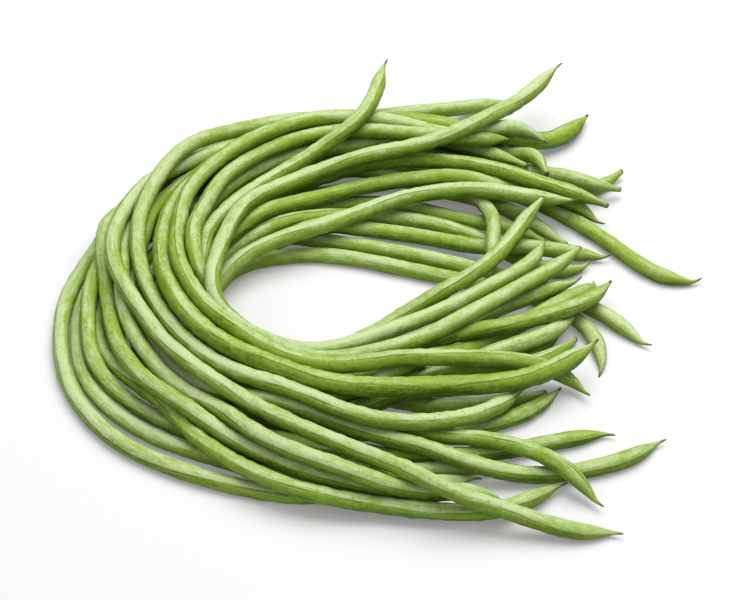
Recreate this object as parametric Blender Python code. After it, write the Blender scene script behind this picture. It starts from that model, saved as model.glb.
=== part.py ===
"""A bunch of yardlong beans, bent round into an open horseshoe and lying on a table.

Every pod grew as one piece, so every pod is one closed solid. A pod is described by its thickness
and by the route it takes over the table and the pile, as a hand-laid list of points. The pods are then
let settle on each other, which evens out their heights and leaves no overlap.
Millimetres here, metres in the scene. +Z is up and the open side of the horseshoe faces +X.
"""

import math

import bmesh
import bpy
import numpy as np

MILLIMETRE = 0.001

POD_RADIUS = 3.6  # of a pod of ordinary thickness, over its widest middle part
CLEARANCE = 0.95  # left between the skins of two pods that touch

RING_SIDES = 8
RING_SPACING = 13.0  # along the plain middle of a pod
STEM_LENGTH = 20.0  # over which the stem end narrows to its neck
TIP_LENGTH = 30.0  # over which the other end narrows to its point
STEM_STATIONS = (0.0, 2.5, 7.0, 13.0, 20.0)  # rings of the stem end, by their distance from it
TIP_STATIONS = (0.8, 3.5, 8.0, 14.0, 21.5, 30.0)  # rings of the pointed end, by their distance from it
NECK_SHARE = 0.42  # of the pod's radius, left at the cut stem
POINT_SHARE = 0.16  # of the pod's radius, left at the last ring of the point
DOME_SHARE = 0.35  # how far an end cap's apex stands proud, as a share of its ring's radius

SAMPLE_SPACING = 4.0  # between the points of a pod's line while the pods settle
EVENING_STEPS = 120  # smoothing steps on a pod's route before it settles
SETTLING_STEPS = 640
HOLD_UNTIL = 0.7  # share of the steps during which a pod is held to its own route
SINK = 0.02  # how far a pod sinks in each step of that time
ROUTE_HOLD = (0.10, 0.10, 0.03)  # share of a pod's shift from its route, taken back in each step
BENDING = 0.06  # stiffness: how strongly a kink is smoothed out in each step
REACH = 14.0  # points nearer than this are watched for contact
WATCH_STEPS = 8  # steps between two searches for such points

# Each pod: share of the ordinary thickness, then its route from the stem end to the pointed tip,
# as (x, y, height of its middle). It lies on the table where that height is about its radius.
BEANS = {
    # Inner rim of the horseshoe, on top of the pile, with its tip standing out at the back.
    "bean_01": (1.01, [
        (82, 38, 15), (75, 22, 15), (57, 7, 15), (40, -4, 15), (17, -18, 13), (-10, -32, 13),
        (-37, -40, 13), (-62, -34, 16), (-75, -17, 22), (-76, 4, 25), (-62, 45, 22), (-36, 77, 21),
        (3, 90, 24), (43, 101, 31), (71, 131, 25), (86, 150, 25), (96, 164, 27)]),
    # Crosses from the front arm over to the back one at the open side.
    "bean_02": (1.0, [
        (82, 60, 23), (73, 45, 22), (61, 24, 21), (36, -1, 18), (14, -11, 10), (-9, -23, 5),
        (-40, -31, 4), (-66, -21, 9), (-79, -2, 22), (-84, 18, 25), (-81, 40, 25), (-75, 72, 21),
        (-49, 102, 20), (-8, 113, 22), (33, 107, 23), (56, 108, 22), (70, 114, 17)]),
    # Crest of the back arm, then along the inner side of the front arm.
    "bean_03": (1.02, [
        (88, 117, 11), (72, 119, 16), (50, 110, 21), (10, 117, 24), (-31, 117, 26), (-66, 95, 26),
        (-89, 62, 24), (-90, 20, 28), (-80, -20, 32), (-52, -49, 27), (-15, -61, 27),
        (25, -53, 23), (65, -47, 16), (86, -47, 7), (98, -58, 3)]),
    # Its tip points up over the back arm.
    "bean_04": (1.0, [
        (98, 28, 19), (86, 14, 19), (66, -1, 18), (33, -30, 19), (-6, -47, 15), (-45, -47, 16),
        (-76, -22, 19), (-82, 1, 18), (-82, 25, 24), (-64, 63, 19), (-34, 93, 20), (-4, 115, 32),
        (3, 139, 32), (6, 156, 34)]),
    # The thickest one, on top of the front arm.
    "bean_05": (1.20, [
        (111, 149, 5), (99, 132, 6), (80, 119, 11), (38, 121, 16), (-4, 125, 16), (-45, 116, 18),
        (-78, 91, 18), (-97, 54, 18), (-97, 12, 25), (-85, -26, 30), (-53, -57, 29), (-15, -71, 25),
        (26, -67, 20), (68, -59, 17), (89, -46, 16), (102, -34, 16)]),
    # Far side of the back arm, then below the thickest one.
    "bean_06": (1.01, [
        (72, 162, 4), (55, 156, 5), (33, 145, 11), (-8, 137, 11), (-48, 128, 12), (-82, 111, 18),
        (-103, 73, 26), (-111, 33, 22), (-101, -9, 21), (-80, -46, 24), (-46, -71, 24),
        (-6, -86, 20), (36, -84, 15), (57, -70, 12), (68, -56, 9)]),
    # The long one down the front slope, with its tip on the table nearest the viewer.
    "bean_07": (1.0, [
        (86, 86, 16), (81, 99, 14), (61, 116, 5), (23, 128, 9), (-19, 130, 10), (-61, 118, 13),
        (-94, 93, 17), (-116, 57, 21), (-121, 14, 24), (-103, -24, 22), (-79, -59, 25),
        (-45, -86, 23), (-9, -104, 18), (25, -126, 19), (65, -135, 9), (89, -139, 4),
        (106, -137, 2)]),
    # Upper one of the front slope.
    "bean_08": (1.0, [
        (123, 88, 5), (108, 84, 12), (88, 96, 8), (70, 108, 8), (52, 116, 5), (15, 132, 4), (-27, 132, 4),
        (-67, 120, 5), (-99, 95, 10), (-115, 56, 13), (-117, 15, 16), (-108, -26, 13),
        (-85, -61, 13), (-57, -91, 19), (-22, -113, 20), (18, -123, 14), (42, -123, 12),
        (57, -127, 11)]),
    # Middle one of the front slope.
    "bean_09": (1.0, [
        (125, 103, 5), (112, 91, 4), (90, 86, 5), (50, 101, 8), (11, 115, 5), (-30, 123, 4),
        (-69, 109, 4), (-104, 84, 6), (-125, 50, 13), (-124, 9, 14), (-116, -32, 13),
        (-95, -68, 17), (-62, -91, 13), (-25, -112, 12), (15, -119, 7), (38, -121, 5)]),
    # Its tip lies alone on the table, at the far right.
    "bean_10": (1.0, [
        (17, -114, 9), (-1, -111, 11), (-23, -107, 8), (-62, -89, 4), (-99, -69, 4),
        (-125, -37, 8), (-131, 4, 10), (-122, 43, 8), (-99, 77, 4), (-63, 101, 4), (-23, 111, 5),
        (18, 104, 9), (58, 93, 7), (92, 71, 5), (122, 39, 4), (140, 23, 4), (157, 21, 2)]),
    # Outermost loop, on the table.
    "bean_11": (1.0, [
        (55, 129, 3), (39, 137, 4), (16, 143, 4), (-26, 143, 4), (-66, 130, 4), (-100, 106, 4),
        (-122, 70, 4), (-137, 31, 4), (-144, -9, 4), (-136, -51, 4), (-112, -85, 4),
        (-76, -106, 4), (-35, -117, 4), (6, -113, 4), (30, -110, 4), (47, -105, 3)]),
    # Next to the outermost; its other end dips from the back arm into the front one.
    "bean_12": (0.93, [
        (64, -99, 2), (46, -101, 4), (23, -102, 4), (-17, -111, 4), (-56, -100, 4), (-94, -84, 4),
        (-124, -56, 4), (-136, -17, 4), (-130, 23, 4), (-107, 57, 4), (-76, 84, 4), (-38, 100, 4),
        (2, 101, 9), (41, 88, 11), (58, 54, 15), (57, 29, 15), (56, 13, 9)]),
    # Lower one of the front slope, with its curved tip on the table.
    "bean_13": (1.0, [
        (94, 48, 3), (81, 60, 4), (64, 75, 4), (27, 89, 5), (-12, 97, 9), (-53, 91, 5),
        (-90, 71, 5), (-118, 40, 6), (-130, 1, 5), (-116, -39, 5), (-91, -70, 10),
        (-65, -101, 12), (-30, -122, 12), (9, -127, 7), (49, -129, 8), (69, -120, 5),
        (83, -109, 4)]),
    # Inner slope of the back arm, with a blunt stem end at the open side.
    "bean_14": (1.0, [
        (115, 68, 11), (99, 69, 18), (77, 76, 19), (38, 91, 20), (-6, 91, 17), (-44, 77, 13),
        (-74, 45, 12), (-85, 8, 12), (-76, -27, 12), (-48, -46, 9), (-14, -40, 5), (21, -23, 5),
        (59, -3, 8), (81, 5, 12), (99, 9, 14)]),
    # Below it on the same slope.
    "bean_15": (1.0, [
        (112, 13, 11), (102, -1, 13), (82, -15, 15), (42, -27, 13), (8, -45, 13), (-32, -57, 14),
        (-70, -43, 17), (-89, -3, 19), (-70, 33, 14), (-41, 62, 13), (-4, 81, 13), (37, 81, 17),
        (77, 76, 12), (100, 70, 8), (112, 60, 3)]),
    # Lies over the low pods of the back arm.
    "bean_16": (1.02, [
        (99, 64, 18), (81, 65, 18), (58, 71, 18), (17, 71, 14), (-18, 49, 17), (-55, 31, 15),
        (-77, -2, 11), (-64, -38, 11), (-24, -50, 9), (24, -43, 6), (63, -34, 12), (83, -21, 11),
        (95, -8, 9)]),
    # Low pods of the inner side, one after the other towards the hollow.
    "bean_17": (1.0, [
        (88, -11, 3), (78, -25, 4), (57, -38, 5), (22, -59, 10), (-18, -67, 5), (-61, -54, 4),
        (-91, -20, 4), (-87, 22, 4), (-48, 47, 8), (-5, 55, 7), (37, 47, 6), (74, 36, 9),
        (98, 40, 4), (115, 37, 3)]),
    "bean_18": (1.0, [
        (85, -50, 3), (74, -63, 4), (52, -75, 4), (11, -80, 4), (-31, -77, 4), (-71, -58, 4),
        (-100, -22, 4), (-99, 20, 4), (-64, 50, 4), (-20, 49, 4), (21, 39, 4), (61, 24, 4),
        (98, 5, 4), (116, -11, 4), (127, -25, 2)]),
    # Innermost, on the table, at the edge of the hollow.
    "bean_19": (0.97, [
        (79, -54, 3), (62, -60, 4), (37, -63, 4), (-5, -55, 4), (-47, -48, 4), (-80, -15, 4),
        (-74, 25, 4), (-30, 40, 4), (14, 30, 4), (55, 17, 4), (92, -3, 4), (104, -25, 4),
        (104, -43, 2)]),
    # Second layer over the low pods.
    "bean_20": (1.0, [
        (94, -18, 3), (83, -31, 5), (62, -43, 8), (21, -54, 9), (-19, -60, 4), (-59, -46, 4),
        (-84, -14, 4), (-78, 22, 6), (-46, 53, 12), (-7, 67, 5), (34, 61, 4), (69, 38, 4),
        (90, 27, 4), (106, 35, 3)]),
    # Second layer of the back arm, with a blunt stem end.
    "bean_21": (1.0, [
        (79, 101, 12), (62, 103, 14), (40, 115, 16), (-5, 112, 16), (-44, 104, 13), (-76, 73, 12),
        (-93, 32, 12), (-96, -11, 12), (-76, -49, 12), (-34, -70, 14), (7, -58, 15), (41, -32, 8),
        (77, -8, 8), (97, 5, 10), (107, 18, 5)]),
    # Passes under the bend and lies out to the right of the front arm.
    "bean_22": (1.0, [
        (70, 103, 3), (54, 104, 4), (34, 114, 6), (-8, 117, 10), (-50, 111, 10), (-87, 90, 11),
        (-107, 53, 12), (-114, 12, 12), (-101, -30, 12), (-73, -64, 12), (-31, -77, 12),
        (10, -91, 11), (49, -106, 8), (91, -103, 4), (114, -94, 4), (128, -82, 2)]),
    # Crosses over it, with its tip down on the table.
    "bean_23": (0.95, [
        (84, 50, 3), (69, 59, 4), (47, 65, 4), (9, 78, 4), (-31, 74, 4), (-71, 58, 4),
        (-101, 27, 5), (-110, -13, 4), (-91, -53, 4), (-53, -71, 9), (-11, -80, 11), (31, -87, 9),
        (69, -100, 12), (88, -113, 8), (98, -125, 2)]),
    # On the table under both.
    "bean_24": (0.97, [
        (63, 93, 3), (46, 96, 4), (23, 97, 4), (-16, 88, 4), (-56, 77, 4), (-92, 55, 4),
        (-115, 19, 4), (-118, -22, 4), (-97, -59, 4), (-56, -80, 4), (-13, -90, 4), (27, -95, 4),
        (68, -89, 4), (90, -83, 4), (107, -78, 2)]),
}


def flat_share():
    """How far a ring's flat sides lie from its centre, as a share of its radius."""
    return math.cos(math.pi / RING_SIDES)


def smooth_step(share):
    share = np.clip(share, 0.0, 1.0)
    return share * share * (3.0 - 2.0 * share)


def radius_along(full, from_stem, from_tip):
    """The pod's radius at points given by their distances from its two ends."""
    stem = NECK_SHARE + (1.0 - NECK_SHARE) * smooth_step(np.asarray(from_stem) / STEM_LENGTH)
    rise = np.clip(np.asarray(from_tip) / TIP_LENGTH, 0.0, 1.0)
    tip = POINT_SHARE + (1.0 - POINT_SHARE) * np.sin(0.5 * math.pi * rise) ** 0.8
    return full * np.minimum(stem, tip)


def lengths_along(line):
    return np.concatenate([[0.0], np.cumsum(np.linalg.norm(np.diff(line, axis=0), axis=1))])


def read_at(line, distances):
    """Points of a line at these distances along it."""
    along = lengths_along(line)
    return np.stack([np.interp(distances, along, line[:, axis]) for axis in range(3)], axis=1)


def smooth_line(points, spacing):
    """Points at an even spacing on the curve that bends evenly through the given ones."""
    knots = lengths_along(points)
    step = np.diff(knots)
    slope = np.diff(points, axis=0) / step[:, None]
    system, wanted = np.eye(len(points)), np.zeros_like(points)
    for i in range(1, len(points) - 1):
        system[i, i - 1:i + 2] = step[i - 1], 2.0 * (step[i - 1] + step[i]), step[i]
        wanted[i] = 6.0 * (slope[i] - slope[i - 1])
    bend = np.linalg.solve(system, wanted)
    at = np.linspace(0.0, knots[-1], int(round(knots[-1] / spacing)) + 1)
    i = np.clip(np.searchsorted(knots, at, side="right") - 1, 0, len(points) - 2)
    after, before, width = (at - knots[i])[:, None], (knots[i + 1] - at)[:, None], step[i][:, None]
    return ((bend[i] * before ** 3 + bend[i + 1] * after ** 3) / (6.0 * width)
            + (points[i] / width - bend[i] * width / 6.0) * before
            + (points[i + 1] / width - bend[i + 1] * width / 6.0) * after)


def smooth_kinks(values):
    """One step towards a line that bends evenly."""
    first, last = values[0], values[-1]
    padded = np.vstack([2 * first - values[2], 2 * first - values[1], values,
                        2 * last - values[-2], 2 * last - values[-3]])
    kink = padded[:-4] - 4 * padded[1:-3] + 6 * padded[2:-2] - 4 * padded[3:-1] + padded[4:]
    return values - BENDING * kink


def near_pairs(points, spans):
    """Index pairs of points of different pods that lie within reach of each other."""
    first, second = [], []
    for start, end in spans[:-1]:
        gaps = points[start:end, None, :] - points[None, end:, :]
        rows, columns = np.nonzero((gaps ** 2).sum(axis=2) < REACH ** 2)
        first.append(rows + start)
        second.append(columns + end)
    return np.concatenate(first), np.concatenate(second)


def push_apart(points, radii, first, second):
    """Moves points of two pods apart, each by half of what is missing between them."""
    gap = points[first] - points[second]
    distance = np.linalg.norm(gap, axis=1)
    missing = radii[first] + radii[second] + CLEARANCE - distance
    touching = missing > 0
    first, second = first[touching], second[touching]
    push = gap[touching] / np.maximum(distance[touching], 1e-6)[:, None]
    push *= 0.25 * missing[touching][:, None]
    count = len(points)
    shift = np.stack([np.bincount(first, push[:, axis], count) - np.bincount(second, push[:, axis], count)
                      for axis in range(3)], axis=1)
    contacts = np.bincount(first, minlength=count) + np.bincount(second, minlength=count)
    return points + shift / np.maximum(1.0, 0.4 * contacts)[:, None]


def settle(lines, radii):
    """Lets the pods sink onto the table and onto each other, and returns their lines."""
    ends = np.cumsum([len(line) for line in lines])
    spans = [(int(end) - len(line), int(end)) for end, line in zip(ends, lines)]
    route = np.vstack(lines)
    flat_route = route * (1.0, 1.0, 0.0)  # a pod keeps its bends in plan, and evens out its heights
    radius = np.concatenate(radii)
    points = route.copy()
    for step in range(SETTLING_STEPS):
        progress = step / SETTLING_STEPS
        if step % WATCH_STEPS == 0:
            first, second = near_pairs(points, spans)
        if progress < HOLD_UNTIL:
            points[:, 2] -= SINK
            points += (route - points) * ROUTE_HOLD
        shift = points - flat_route
        for start, end in spans:
            shift[start:end] = smooth_kinks(smooth_kinks(shift[start:end]))
        points = flat_route + shift
        for _ in range(2):
            points = push_apart(points, radius, first, second)
        points[:, 2] = np.maximum(points[:, 2], radius * flat_share())
    return [points[start:end] for start, end in spans]


def start_line(full, route):
    """A pod's line before it settles, with its radius at each point."""
    curve = smooth_line(np.array(route, dtype=float), SAMPLE_SPACING)
    for _ in range(EVENING_STEPS):
        curve = smooth_kinks(curve)
    length = lengths_along(curve)[-1]
    at = np.linspace(0.0, length, len(curve))
    return read_at(curve, at), radius_along(full, at, length - at)


def ring_stations(length):
    """Distances of the rings from the stem end: close together at both ends, even between them."""
    start, end = STEM_STATIONS[-1], length - TIP_STATIONS[-1]
    count = int(round((end - start) / RING_SPACING))
    middle = np.linspace(start, end, count + 1)[1:-1]
    return np.concatenate([STEM_STATIONS, middle, [length - s for s in reversed(TIP_STATIONS)]])


def pod_shape(line, full):
    """The corners of a pod's rings along its line, flat side down, and the apexes of its two domed ends."""
    length = lengths_along(line)[-1]
    stations = ring_stations(length)
    centres = read_at(line, stations)
    forward = read_at(line, np.minimum(stations + 1.5, length)) - read_at(line, np.maximum(stations - 1.5, 0.0))
    forward /= np.linalg.norm(forward, axis=1)[:, None]
    radii = radius_along(full, stations, length - stations)
    side = np.cross(forward, (0.0, 0.0, 1.0))
    side /= np.linalg.norm(side, axis=1)[:, None]
    up = np.cross(side, forward)

    angles = 2.0 * math.pi * (np.arange(RING_SIDES) + 0.5) / RING_SIDES
    around = np.cos(angles)[None, :, None] * side[:, None, :] + np.sin(angles)[None, :, None] * up[:, None, :]
    rings = centres[:, None, :] + radii[:, None, None] * around
    apexes = np.stack([centres[0] - forward[0] * radii[0] * DOME_SHARE,
                       centres[-1] + forward[-1] * radii[-1] * DOME_SHARE])
    return rings, apexes


def pod_mesh(name, rings, apexes):
    """One closed tube through the rings, with a low dome on each end."""
    pod = bmesh.new()
    corners = [[pod.verts.new(place * MILLIMETRE) for place in ring] for ring in rings]
    for ring, following in zip(corners, corners[1:]):
        for corner in range(RING_SIDES):
            beside = (corner + 1) % RING_SIDES
            pod.faces.new((ring[corner], ring[beside], following[beside], following[corner]))
    for ring, place in zip((corners[0], corners[-1]), apexes):
        apex = pod.verts.new(place * MILLIMETRE)
        for corner in range(RING_SIDES):
            pod.faces.new((ring[corner], ring[(corner + 1) % RING_SIDES], apex))
    bmesh.ops.recalc_face_normals(pod, faces=pod.faces)
    mesh = bpy.data.meshes.new(name)
    pod.to_mesh(mesh)
    pod.free()
    mesh.shade_smooth()
    return mesh


def pod_material():
    material = bpy.data.materials.new("green_pod")
    material.use_nodes = True
    finish = material.node_tree.nodes["Principled BSDF"]
    finish.inputs["Base Color"].default_value = (0.32, 0.50, 0.11, 1.0)
    finish.inputs["Roughness"].default_value = 0.42
    finish.inputs["Metallic"].default_value = 0.0
    return material


def foot_of(shapes):
    """The middle of the bunch's outline in plan, at the height of its lowest point."""
    places = np.vstack([np.vstack([rings.reshape(-1, 3), apexes]) for rings, apexes in shapes])
    low, high = places.min(axis=0), places.max(axis=0)
    return np.array([(low[0] + high[0]) / 2, (low[1] + high[1]) / 2, low[2]])


def main():
    for leftover in list(bpy.data.objects):
        bpy.data.objects.remove(leftover, do_unlink=True)
    full_radii = [POD_RADIUS * thickness for thickness, _ in BEANS.values()]
    starts = [start_line(full, route) for full, (_, route) in zip(full_radii, BEANS.values())]
    lines = settle([line for line, _ in starts], [radii for _, radii in starts])
    shapes = [pod_shape(line, full) for line, full in zip(lines, full_radii)]
    foot = foot_of(shapes)
    skin = pod_material()
    for name, (rings, apexes) in zip(BEANS, shapes):
        mesh = pod_mesh(name, rings - foot, apexes - foot)
        mesh.materials.append(skin)
        bpy.context.scene.collection.objects.link(bpy.data.objects.new(name, mesh))


main()
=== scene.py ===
import math

import bmesh
import bpy
import numpy as np
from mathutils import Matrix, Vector


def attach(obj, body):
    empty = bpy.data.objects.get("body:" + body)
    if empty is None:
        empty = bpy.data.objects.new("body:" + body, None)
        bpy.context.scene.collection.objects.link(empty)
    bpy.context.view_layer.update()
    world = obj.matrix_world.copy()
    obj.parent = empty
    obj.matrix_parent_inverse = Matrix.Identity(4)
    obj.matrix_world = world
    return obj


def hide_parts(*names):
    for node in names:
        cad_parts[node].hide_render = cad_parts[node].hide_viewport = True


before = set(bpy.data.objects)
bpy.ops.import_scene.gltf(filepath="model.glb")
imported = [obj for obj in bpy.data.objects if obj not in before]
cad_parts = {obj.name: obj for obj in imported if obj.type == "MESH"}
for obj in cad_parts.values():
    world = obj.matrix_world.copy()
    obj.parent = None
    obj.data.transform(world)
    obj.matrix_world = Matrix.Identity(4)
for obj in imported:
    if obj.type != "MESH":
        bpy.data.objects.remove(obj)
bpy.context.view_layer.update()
print("loaded", len(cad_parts), "pods")

mm = 0.001

# what every pod has in common; lengths in mm
podShape = {
    "sides": 40,            # points round the skin, closer together at the seam
    "seamCrowding": 0.62,
    "ringStep": 1.3,        # between two rings of the skin
    "fullness": 1.04,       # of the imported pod's radius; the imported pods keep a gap, these all but touch
    "seamCrest": 0.055,     # height of the edge that the seam runs on, as a share of the radius
    "seamGroove": 0.03,     # depth of the seam itself
    "backRidge": 0.03,      # the low ridge on the far side
    "flankFlat": 0.02,      # how much the pod is wider across its seeds than along its seam
    "seedStep": 11.0,       # between two seeds
    "seedSwell": 0.11,
    "lumpStep": 27.0,
    "lumpSwell": 0.07,
    "beakLength": 7.0,
    "beakThin": 0.58,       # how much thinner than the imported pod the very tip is
    "stemThin": 0.62,       # the same at a stem end that is drawn out to a point
    "beakLift": 2.8,        # how far the tip curves towards its seam
    "tipSwell": 0.12,       # the last seed makes the pod wide again, this far from the tip
    "tipSwellAt": 17.0,
    "wander": 16.0,         # degrees that the seam drifts from side to side
}

# where each pod's seam lies: degrees from the top towards its own left side, then the drift from stem to tip
seamTurns = {
    "bean_01": (38, 10), "bean_02": (-35, 20), "bean_03": (25, -10), "bean_04": (40, 0),
    "bean_05": (22, 10), "bean_06": (60, -20), "bean_07": (30, 25), "bean_08": (75, -10),
    "bean_09": (50, 15), "bean_10": (-60, 10), "bean_11": (40, 20), "bean_12": (100, 0),
    "bean_13": (35, 15), "bean_14": (-30, 0), "bean_15": (-50, 20), "bean_16": (-35, 10),
    "bean_17": (-40, 0), "bean_18": (-70, 15), "bean_19": (150, 0), "bean_20": (-20, 10),
    "bean_21": (-100, 20), "bean_22": (45, 10), "bean_23": (30, -25), "bean_24": (60, 0),
}

# how far a pod is drawn out to a point at its stem end: 0 is a blunt stub
stemPoints = {"bean_01": 1.0, "bean_03": 1.0, "bean_05": 1.0, "bean_06": 1.0, "bean_15": 0.9, "bean_16": 0.9,
              "bean_18": 1.0}
bluntStem = 0.25

# tips that curve less or the other way, because another pod lies in their way
tipLifts = {"bean_02": -1.2, "bean_16": 0.4}

podLook = {
    "paleAndPaintedLight": (0.41, 0.475, 0.275),     # pale patches, and painted light where the pod faces up or lies above its seam
    "green": (0.18, 0.27, 0.022),
    # darkest green, also used for the painted shade on the undersides and in the creases
    "deepAndPaintedShade": (0.05, 0.11, 0.0008),
    "seam": (0.045, 0.085, 0.0005),
    "yellow": (0.32, 0.33, 0.07),    # by a blunt stem
    "brown": (0.075, 0.05, 0.028),
    "freckle": (0.045, 0.05, 0.012),
    "roughness": 0.52,
    "shine": 0.30,
    "shineTint": (0.9, 1.0, 0.6),
    "glow": 0.10,                    # light that goes through the skin
    "glowDepth": 1.2,
}

# lift: the floor glows by this much, which lightens the shadows on it
floorLook = {"color": (0.44, 0.44, 0.44), "reach": 3.0, "lift": 0.16}

studio = {
    "skyEdge": 0.02, "skyTop": 1.05,      # brightness at the horizon and overhead
    "keyPower": 26.5, "keySize": 1.3, "keyPlace": (0.22, 0.38, 1.22),
    "fillPower": 3.5, "fillSize": 1.6, "fillPlace": (-0.5, -1.2, 0.9),
}

cameraSetup = {"elevation": 42.0, "distance": 1.05, "target": (-0.0045, -0.0111, 0.010), "lens": 109.1}


class Wire:
    # one value of a node tree, which can be used in sums
    def __init__(self, board, socket):
        self.board, self.socket = board, socket

    def math(self, operation, *others):
        inputs = dict(enumerate((self,) + others))
        return self.board.node("ShaderNodeMath", {"operation": operation}, inputs)

    def __add__(self, other): return self.math("ADD", other)
    def __radd__(self, other): return self.math("ADD", other)
    def __sub__(self, other): return self.math("SUBTRACT", other)
    def __mul__(self, other): return self.math("MULTIPLY", other)
    def __rmul__(self, other): return self.math("MULTIPLY", other)
    def __truediv__(self, other): return self.math("DIVIDE", other)
    def __pow__(self, other): return self.math("POWER", other)
    def __neg__(self): return self.math("MULTIPLY", -1.0)

    def __rsub__(self, other):
        return self.board.node("ShaderNodeMath", {"operation": "SUBTRACT"}, {0: other, 1: self})

    def __rtruediv__(self, other):
        return self.board.node("ShaderNodeMath", {"operation": "DIVIDE"}, {0: other, 1: self})

    def least(self, other): return self.math("MINIMUM", other)
    def most(self, other): return self.math("MAXIMUM", other)
    def clear(self): return self.most(0.0).least(1.0)
    def bell(self, width): return (-(self / width) ** 2.0).math("EXPONENT")

    def rise(self, low, high):
        # 0 below low, 1 above high, smooth between them
        return self.board.node("ShaderNodeMapRange", {"interpolation_type": "SMOOTHSTEP"},
                               {"Value": self, "From Min": low, "From Max": high})


class Board:
    # a node tree to which nodes are added by their type, settings and inputs
    def __init__(self, tree):
        self.tree = tree

    def node(self, kind, settings=None, inputs=None, output=0):
        made = self.tree.nodes.new(kind)
        for name, value in (settings or {}).items():
            if name == "stops":
                ramp = made.color_ramp
                while len(ramp.elements) < len(value):
                    ramp.elements.new(1.0)
                for element, (place, color) in zip(ramp.elements, value):
                    element.position, element.color = place, color
            else:
                setattr(made, name, value)
        for name, value in (inputs or {}).items():
            socket = made.inputs[name] if isinstance(name, int) else \
                next(s for s in made.inputs if s.name == name and s.enabled)
            if isinstance(value, Wire):
                self.tree.links.new(value.socket, socket)
            elif isinstance(value, (tuple, list)) and len(value) == 3 and socket.type == "RGBA":
                socket.default_value = (*value, 1.0)
            else:
                socket.default_value = value
        return Wire(self, self.pick(made, output))

    def pick(self, made, output):
        if isinstance(output, int):
            return [s for s in made.outputs if s.enabled][output]
        return next(s for s in made.outputs if s.name == output and s.enabled)

    def vector(self, x, y, z):
        return self.node("ShaderNodeCombineXYZ", {}, {"X": x, "Y": y, "Z": z})

    def split(self, vector):
        made = self.node("ShaderNodeSeparateXYZ", {}, {0: vector}).socket.node
        return [Wire(self, made.outputs[name]) for name in "XYZ"]

    def vectorMath(self, operation, *values, output=0):
        return self.node("ShaderNodeVectorMath", {"operation": operation}, dict(enumerate(values)), output)

    def scaled(self, vector, scale):
        return self.node("ShaderNodeVectorMath", {"operation": "SCALE"}, {0: vector, "Scale": scale})

    def noise(self, vector, scale, detail=2.0, roughness=0.5, dimensions="3D", w=None):
        inputs = {"Scale": scale, "Detail": detail, "Roughness": roughness}
        if dimensions != "1D":
            inputs["Vector"] = vector
        if w is not None:
            inputs["W"] = w
        return self.node("ShaderNodeTexNoise", {"noise_dimensions": dimensions}, inputs)

    def blend(self, share, low, high, mode="MIX"):
        made = self.node("ShaderNodeMix", {"data_type": "RGBA", "blend_type": mode}, {0: share}).socket.node
        for socket, value in ((made.inputs[6], low), (made.inputs[7], high)):
            if isinstance(value, Wire):
                self.tree.links.new(value.socket, socket)
            else:
                socket.default_value = (*value, 1.0)
        return Wire(self, made.outputs[2])


def readRings(node):
    # a packed pod is a tube of rings between two apexes: each step away from one of them is a ring
    skin = bmesh.new()
    skin.from_mesh(node.data)
    bmesh.ops.remove_doubles(skin, verts=skin.verts, dist=1e-6)
    apexes = [v for v in skin.verts if len(v.link_faces) == 8 and len(v.link_edges) == 8]
    layer, seen, rings = {apexes[0]}, {apexes[0]}, []
    while layer:
        layer = {edge.other_vert(v) for v in layer for edge in v.link_edges} - seen
        seen |= layer
        if len(layer) > 1:
            rings.append(np.array([v.co for v in layer]))
    skin.free()
    centres = np.array([ring.mean(axis=0) for ring in rings])
    radii = np.array([np.linalg.norm(ring - centre, axis=1).mean() for ring, centre in zip(rings, centres)])
    if radii[0] < radii[-1]:      # the stem end has the wider last ring
        centres, radii = centres[::-1], radii[::-1]
    return centres, radii


def smoothThrough(knots, values, at):
    # a curve that bends evenly through the values
    step = np.diff(knots)
    system, wanted = np.eye(len(knots)), np.zeros_like(values)
    slope = np.diff(values, axis=0) / step[:, None]
    for i in range(1, len(knots) - 1):
        system[i, i - 1:i + 2] = step[i - 1], 2 * (step[i - 1] + step[i]), step[i]
        wanted[i] = 6 * (slope[i] - slope[i - 1])
    bend = np.linalg.solve(system, wanted)
    i = np.clip(np.searchsorted(knots, at, side="right") - 1, 0, len(knots) - 2)
    after, before = (at - knots[i])[:, None], (knots[i + 1] - at)[:, None]
    width = step[i][:, None]
    return ((bend[i] * before ** 3 + bend[i + 1] * after ** 3) / (6 * width)
            + (values[i] / width - bend[i] * width / 6) * before
            + (values[i + 1] / width - bend[i + 1] * width / 6) * after)


def podLine(name):
    # the pod's own line with its radius, read from its packed rings, as a mesh of edges
    centres, radii = readRings(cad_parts[name])
    knots = np.concatenate([[0.0], np.cumsum(np.linalg.norm(np.diff(centres, axis=0), axis=1))])
    length = knots[-1]
    stem = np.array([0.0, 0.02, 0.12, 0.3, 0.6, 1.0, 1.6, 2.3, 3.2, 4.2]) * mm
    tip = np.array([0.0, 0.15, 0.4, 0.8, 1.4, 2.1, 3.0, 4.0]) * mm
    count = int((length - stem[-1] - tip[-1]) / (podShape["ringStep"] * mm))
    at = np.concatenate([stem, np.linspace(stem[-1], length - tip[-1], count + 1)[1:-1], length - tip[::-1]])
    read = smoothThrough(knots, np.column_stack([centres, radii]), at)
    line = bpy.data.meshes.new(name + "_line")
    line.from_pydata([tuple(p) for p in read[:, :3]], [(i, i + 1) for i in range(len(at) - 1)], [])
    for label, values in (("girth", read[:, 3]), ("fromStem", at), ("fromTip", length - at)):
        line.attributes.new(label, "FLOAT", "POINT").data.foreach_set("value", values.astype(np.float32))
    return line


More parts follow.
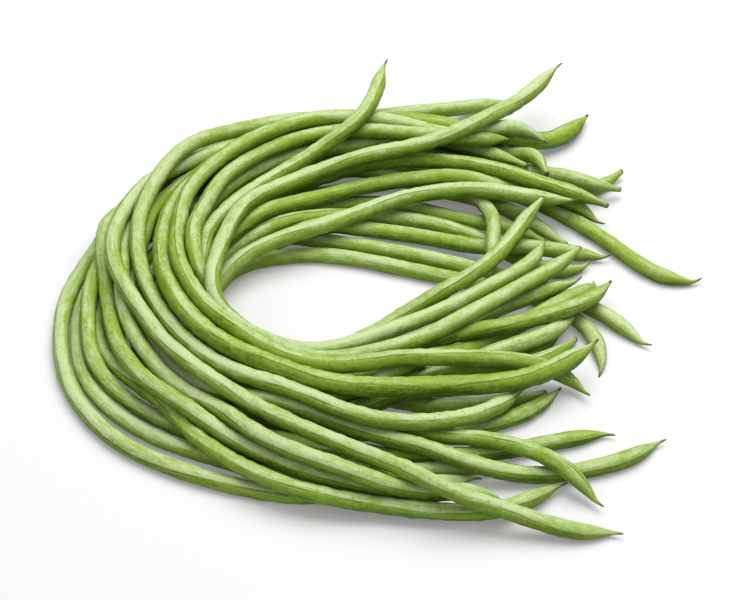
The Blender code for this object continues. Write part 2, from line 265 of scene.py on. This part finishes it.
def growPodTree():
    # the skin of one pod, swept along its line
    tree = bpy.data.node_groups.new("growPod", "GeometryNodeTree")
    face = tree.interface
    face.new_socket("Line", in_out="INPUT", socket_type="NodeSocketGeometry")
    sizes = {"Sides": podShape["sides"], "Seam Turn": 0.0, "Seam Drift": 0.0, "Pod Number": 0.0,
             "Full Length": 0.5, "Stem Point": 0.0, "Tip Lift": podShape["beakLift"]}
    for label, value in sizes.items():
        kind = "NodeSocketInt" if isinstance(value, int) else "NodeSocketFloat"
        face.new_socket(label, in_out="INPUT", socket_type=kind).default_value = value
    face.new_socket("Skin", in_out="INPUT", socket_type="NodeSocketMaterial")
    face.new_socket("Pod", in_out="OUTPUT", socket_type="NodeSocketGeometry")
    board = Board(tree)
    entry = tree.nodes.new("NodeGroupInput")
    given = {socket.name: Wire(board, socket) for socket in entry.outputs if socket.name}

    def named(label, kind="FLOAT"):
        return board.node("GeometryNodeInputNamedAttribute", {"data_type": kind}, {"Name": label})

    def keep(geometry, label, value, kind="FLOAT"):
        return board.node("GeometryNodeStoreNamedAttribute", {"data_type": kind, "domain": "POINT"},
                          {"Geometry": geometry, "Name": label, "Value": value})

    # the line's own directions, before it is swept
    line = board.node("GeometryNodeMeshToCurve", {}, {"Mesh": given["Line"]})
    tangent = board.node("GeometryNodeInputTangent")
    side = board.vectorMath("NORMALIZE", board.vectorMath("CROSS_PRODUCT", tangent, (0.0, 0.0, 1.0)))
    rise = board.vectorMath("CROSS_PRODUCT", side, tangent)
    place = board.node("GeometryNodeInputPosition")
    for label, value in (("podCentre", place), ("podSide", side), ("podRise", rise)):
        line = keep(line, label, value, "FLOAT_VECTOR")

    # the profile carries the angle; its points crowd at the seam
    ring = board.node("GeometryNodeCurvePrimitiveCircle", {}, {"Resolution": given["Sides"], "Radius": 1.0})
    share = board.node("GeometryNodeSplineParameter", {}, {}, "Factor") * (2.0 * math.pi)
    crowded = share - podShape["seamCrowding"] * share.math("SINE")
    ring = keep(ring, "podAround", board.vector(crowded.math("COSINE"), crowded.math("SINE"), 0.0), "FLOAT_VECTOR")
    skin = board.node("GeometryNodeCurveToMesh", {}, {"Curve": line, "Profile Curve": ring, "Scale": 0.001,
                                                      "Fill Caps": True})

    cosine, sine, _ = board.split(named("podAround", "FLOAT_VECTOR"))
    girth, fromStem, fromTip = named("girth"), named("fromStem") * 1000.0, named("fromTip") * 1000.0
    number = given["Pod Number"]
    seamAngle = sine.math("ARCTAN2", cosine)
    fromSeam = seamAngle.math("ABSOLUTE")
    along = fromStem + number * 911.0

    def wave(step, offset, detail=1.0):
        # even noise along the pod, from -1 to 1
        return board.noise(None, 1.0, detail, 0.5, "1D", along / step + offset) * 2.0 - 1.0

    crest = (fromSeam / -0.5).math("EXPONENT") * podShape["seamCrest"]
    groove = fromSeam.bell(0.09) * podShape["seamGroove"]
    back = (fromSeam - math.pi).bell(0.28) * podShape["backRidge"]
    flank = sine * sine * podShape["flankFlat"]
    inBody = fromStem.rise(4.0, 24.0) * fromTip.rise(6.0, 34.0)
    seeds = (wave(podShape["seedStep"] / 2.0, 3.7) * podShape["seedSwell"]
             * (0.35 + sine * sine * 0.65)) * inBody
    lumps = wave(podShape["lumpStep"] / 2.0, 41.3, 2.0) * podShape["lumpSwell"] * inBody
    blobs = board.noise(board.vector(cosine * 1.1, sine * 1.1, along / 7.0), 1.0, 2.0, 0.5) * 2.0 - 1.0
    beak = (fromTip.bell(podShape["beakLength"]) * podShape["beakThin"]
            - (fromTip - podShape["tipSwellAt"]).bell(7.5) * podShape["tipSwell"]
            + fromStem.bell(podShape["beakLength"]) * podShape["stemThin"] * given["Stem Point"])
    # rounded edge of the cut stem and of the point
    stubEdge = (1.0 - (1.0 - (fromStem / 0.9).clear()) ** 2.0).math("SQRT") * 0.93 + 0.07
    tipEdge = (1.0 - (1.0 - (fromTip / 0.8).clear()) ** 2.0).math("SQRT") * 0.93 + 0.07
    collar = (fromStem - 2.6).bell(1.6) * 0.05 - (fromStem - 6.5).bell(3.0) * 0.05
    radius = (girth * podShape["fullness"] * stubEdge * tipEdge
              * (1.0 + (crest - groove) * fromStem.rise(2.0, 12.0) + back + flank * inBody + seeds + lumps
                 + blobs * 0.05 + collar * (1.0 - given["Stem Point"]) - beak))

    turn = (given["Seam Turn"] + given["Seam Drift"] * (fromStem / (given["Full Length"] * 1000.0))
            + wave(70.0, 17.9) * math.radians(podShape["wander"]) * 2.0)
    turned = seamAngle + turn
    up, out = named("podRise", "FLOAT_VECTOR"), named("podSide", "FLOAT_VECTOR")
    outward = board.vectorMath("ADD", board.scaled(up, turned.math("COSINE")), board.scaled(out, turned.math("SINE")))
    seamward = board.vectorMath("ADD", board.scaled(up, turn.math("COSINE")), board.scaled(out, turn.math("SINE")))
    lift = (1.0 - (fromTip / podShape["beakLength"]).clear()) ** 2.0 * (given["Tip Lift"] * mm)
    centre = board.vectorMath("ADD", named("podCentre", "FLOAT_VECTOR"), board.scaled(seamward, lift))
    skin = board.node("GeometryNodeSetPosition", {}, {"Geometry": skin, "Position": board.vectorMath(
        "ADD", centre, board.scaled(outward, radius))})
    # a swelling that meets the table is pressed flat
    x, y, z = board.split(place)
    skin = board.node("GeometryNodeSetPosition", {}, {"Geometry": skin, "Position": board.vector(x, y, z.most(0.0))})

    skin = keep(skin, "podPlace", board.vector(cosine, sine, given["Stem Point"]), "FLOAT_VECTOR")
    skin = keep(skin, "podEnds", board.vector(fromStem, fromTip, number), "FLOAT_VECTOR")
    # how far the skin faces the pod's upper side, and on which side of the seam it is: above is positive; kept for the
    # painted light and shade of the skin
    seamSide = -seamAngle * (turn * 3.0).most(-1.0).least(1.0)
    skin = keep(skin, "podFacing", board.vector(turned.math("COSINE"), seamSide, 0.0), "FLOAT_VECTOR")
    skin = board.node("GeometryNodeRealizeInstances", {}, {"Geometry": skin})
    skin = board.node("GeometryNodeSetMaterial", {}, {"Geometry": skin, "Material": given["Skin"]})
    exit_ = tree.nodes.new("NodeGroupOutput")
    tree.links.new(skin.socket, exit_.inputs[0])
    return tree


def podSkin():
    material = bpy.data.materials.new("greenPod")
    material.use_nodes = True
    board = Board(material.node_tree)
    finish = material.node_tree.nodes["Principled BSDF"]

    def attribute(label):
        return board.node("ShaderNodeAttribute", {"attribute_name": label}, {}, "Vector")

    cosine, sine, stemPoint = board.split(attribute("podPlace"))
    fromStem, fromTip, number = board.split(attribute("podEnds"))
    seamAngle = sine.math("ARCTAN2", cosine)
    fromSeam = seamAngle.math("ABSOLUTE")
    shift = number * 37.0

    def skinNoise(aroundScale, alongScale, detail=2.0, offset=0.0, roughness=0.5):
        # noise on the rolled-out skin: scales are features per radian and per mm
        return board.noise(board.vector(cosine * aroundScale, sine * aroundScale + offset, fromStem * alongScale + shift),
                           1.0, detail, roughness)

    streaks = skinNoise(5.5, 0.045, 3.0, 11.0)
    blotches = skinNoise(1.5, 0.14, 3.0, 23.0)
    mottle = skinNoise(3.0, 0.6, 2.0, 5.0, 0.5)
    slow = skinNoise(0.5, 0.02, 1.0, 51.0)
    ownTint = board.node("ShaderNodeTexWhiteNoise", {"noise_dimensions": "1D"}, {"W": number * 1.7 + 0.3}, "Value")

    # body colour: darkest to green to palest, by patches and by pod, plus painted light where the skin faces up and
    # above the seam, and painted shade where it faces down
    tone = 0.5 + (streaks - 0.5) * 0.5 + (blotches - 0.5) * 0.7 + (mottle - 0.5) * 0.5 + (slow - 0.5) * 0.7
    # painted light and shade: lighter where the skin faces up and on the upper side of the seam, darker below
    facing, seamSide, _ = board.split(attribute("podFacing"))
    paintedLightAboveSeam = (seamSide.rise(-0.10, 0.10) - 0.5) * (fromSeam / -0.9).math("EXPONENT")
    tone = (tone + (ownTint - 0.5) * 0.3 + (facing.rise(-0.5, 1.1) - 0.58) * 0.45 + paintedLightAboveSeam * 0.36).clear()
    color = board.blend(tone.rise(0.0, 0.55), podLook["deepAndPaintedShade"], podLook["green"])
    color = board.blend(tone.rise(0.5, 1.0) * 0.75, color, podLook["paleAndPaintedLight"])
    # the thin dark seam, stronger in some places, and the fainter one at the back
    waver = (skinNoise(0.2, 0.09, 2.0, 191.0) - 0.5) * 0.22
    broken = skinNoise(0.2, 0.05, 2.0, 71.0).rise(0.36, 0.62)
    seamLine = ((seamAngle + waver) / (0.035 + 0.05 * broken)).bell(1.0) * (0.35 + 0.5 * broken)
    backLine = (fromSeam - math.pi).bell(0.05) * 0.35 * broken
    color = board.blend(seamLine.most(backLine).clear(), color, podLook["seam"])
    # fine creases across the pod, with painted shade in them, and small dark marks
    crease = (skinNoise(1.3, 0.8, 2.0, 151.0, 0.6).rise(0.55, 0.72) * skinNoise(0.8, 0.07, 1.0, 171.0).rise(0.42, 0.60)
              * (fromSeam / 1.1).bell(1.0))
    # painted shade in the creases
    color = board.blend(crease * 0.5, color, podLook["deepAndPaintedShade"])
    spots = board.node("ShaderNodeTexVoronoi", {"feature": "F1"}, {
        "Vector": board.vector(cosine * 2.1, sine * 2.1, fromStem * 0.42 + shift), "Scale": 1.0, "Randomness": 1.0})
    chosen = skinNoise(0.9, 0.06, 1.0, 91.0).rise(0.52, 0.62)
    color = board.blend((1.0 - spots.rise(0.05, 0.14)) * chosen * 0.55, color, podLook["freckle"])
    # a blunt stem is yellowish with a dry brown end; a drawn-out end is a brown beak
    bluntness = 1.0 - stemPoint
    color = board.blend((1.0 - fromStem.rise(1.0, 8.0)) * 0.45 * bluntness, color, podLook["yellow"])
    stemBrown = 1.0 - (fromStem + (mottle - 0.5) * 2.0 - stemPoint * 1.8).rise(0.2, 1.9)
    tipBrown = 1.0 - (fromTip + (streaks - 0.5) * 3.0).rise(0.8, 4.2)
    color = board.blend(stemBrown.most(tipBrown) * 0.9, color, podLook["brown"])
    material.node_tree.links.new(color.socket, finish.inputs["Base Color"])

    rough = podLook["roughness"] + (mottle - 0.5) * 0.22 + seamLine * 0.35
    material.node_tree.links.new(rough.socket, finish.inputs["Roughness"])
    wrinkle = skinNoise(1.0, 1.5, 2.0, 131.0)
    height = streaks * 0.5 + mottle * 0.7 + blotches * 0.8 + wrinkle * 0.4 - seamLine * 0.25 - crease * 0.3
    bump = board.node("ShaderNodeBump", {}, {"Strength": 0.8, "Distance": 0.0003, "Height": height})
    material.node_tree.links.new(bump.socket, finish.inputs["Normal"])
    finish.inputs["Subsurface Weight"].default_value = podLook["glow"]
    finish.inputs["Subsurface Radius"].default_value = (0.55, 1.0, 0.18)
    finish.inputs["Subsurface Scale"].default_value = podLook["glowDepth"] * mm
    finish.inputs["Specular IOR Level"].default_value = podLook["shine"]
    finish.inputs["Specular Tint"].default_value = (*podLook["shineTint"], 1.0)
    return material


def growPod(tree, skin, index, name):
    line = podLine(name)
    holder = bpy.data.objects.new(name + "_pod", line)
    bpy.context.scene.collection.objects.link(holder)
    grower = holder.modifiers.new("growPod", "NODES")
    grower.node_group = tree
    turn, drift = seamTurns[name]
    length = max(item.value for item in line.attributes["fromStem"].data)
    given = {"Seam Turn": math.radians(turn), "Seam Drift": math.radians(drift), "Pod Number": index + 1.0,
             "Full Length": length, "Stem Point": stemPoints.get(name, bluntStem),
             "Tip Lift": tipLifts.get(name, podShape["beakLift"]), "Skin": skin}
    for item in tree.interface.items_tree:
        if item.in_out == "INPUT" and item.name in given:
            grower[item.identifier] = given[item.name]
    seen = holder.evaluated_get(bpy.context.evaluated_depsgraph_get())
    mesh = bpy.data.meshes.new_from_object(seen)
    holder.modifiers.clear()
    holder.data = mesh
    bpy.data.meshes.remove(line)
    mesh.name = holder.name
    body = bmesh.new()
    body.from_mesh(mesh)
    bmesh.ops.recalc_face_normals(body, faces=body.faces)
    body.to_mesh(mesh)
    body.free()
    mesh.shade_smooth()
    for label in ("podCentre", "podSide", "podRise", "podAround", "girth", "fromStem", "fromTip"):
        if label in mesh.attributes:
            mesh.attributes.remove(mesh.attributes[label])
    return holder


tree, skin = growPodTree(), podSkin()
pods = []
for index, name in enumerate(sorted(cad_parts)):
    pod = growPod(tree, skin, index, name)
    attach(pod, "root")
    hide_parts(name)
    pods.append(pod)
print("grew", len(pods), "pods with", sum(len(pod.data.polygons) for pod in pods), "faces")


def layFloor():
    lowest = min(v.co.z for pod in pods for v in pod.data.vertices)
    reach = floorLook["reach"]
    mesh = bpy.data.meshes.new("floor")
    mesh.from_pydata([(-reach, -reach, lowest), (reach, -reach, lowest), (reach, reach, lowest),
                      (-reach, reach, lowest)], [], [(0, 1, 2, 3)])
    floor = bpy.data.objects.new("floor", mesh)
    bpy.context.scene.collection.objects.link(floor)
    material = bpy.data.materials.new("paleFloor")
    material.use_nodes = True
    finish = material.node_tree.nodes["Principled BSDF"]
    finish.inputs["Base Color"].default_value = (*floorLook["color"], 1.0)
    finish.inputs["Roughness"].default_value = 0.7
    finish.inputs["Specular IOR Level"].default_value = 0.1
    # the floor glows faintly, lightening the shadows on it
    finish.inputs["Emission Color"].default_value = (1.0, 1.0, 1.0, 1.0)
    finish.inputs["Emission Strength"].default_value = floorLook["lift"]
    mesh.materials.append(material)
    return lowest


floorHeight = layFloor()
print("floor at", round(floorHeight * 1000, 2), "mm")


def aim(holder, place, target):
    holder.location = place
    holder.rotation_euler = (Vector(target) - Vector(place)).to_track_quat("-Z", "Y").to_euler()


def softLight(name, power, size, place):
    lamp = bpy.data.lights.new(name, "AREA")
    lamp.shape, lamp.size, lamp.energy = "DISK", size, power
    holder = bpy.data.objects.new(name, lamp)
    bpy.context.scene.collection.objects.link(holder)
    aim(holder, place, (0.0, 0.0, 0.0))


softLight("keyLight", studio["keyPower"], studio["keySize"], studio["keyPlace"])
softLight("fillLight", studio["fillPower"], studio["fillSize"], studio["fillPlace"])
world = bpy.data.worlds.new("studioSky")
world.use_nodes = True
skyBoard = Board(world.node_tree)
height = skyBoard.split(skyBoard.node("ShaderNodeTexCoord", {}, {}, "Generated"))[2].clear()
strength = height * (studio["skyTop"] - studio["skyEdge"]) + studio["skyEdge"]
world.node_tree.nodes["Background"].inputs["Color"].default_value = (1.0, 1.0, 1.0, 1.0)
world.node_tree.links.new(strength.socket, world.node_tree.nodes["Background"].inputs["Strength"])
bpy.context.scene.world = world
bpy.context.scene.view_settings.view_transform = "Standard"

camera = bpy.data.cameras.new("camera")
camera.lens, camera.sensor_width, camera.clip_start = cameraSetup["lens"], 36.0, 0.01
viewer = bpy.data.objects.new("camera", camera)
bpy.context.scene.collection.objects.link(viewer)
tilt = math.radians(cameraSetup["elevation"])
target = Vector(cameraSetup["target"])
aim(viewer, target + cameraSetup["distance"] * Vector((0.0, -math.cos(tilt), math.sin(tilt))), target)
bpy.context.scene.camera = viewer
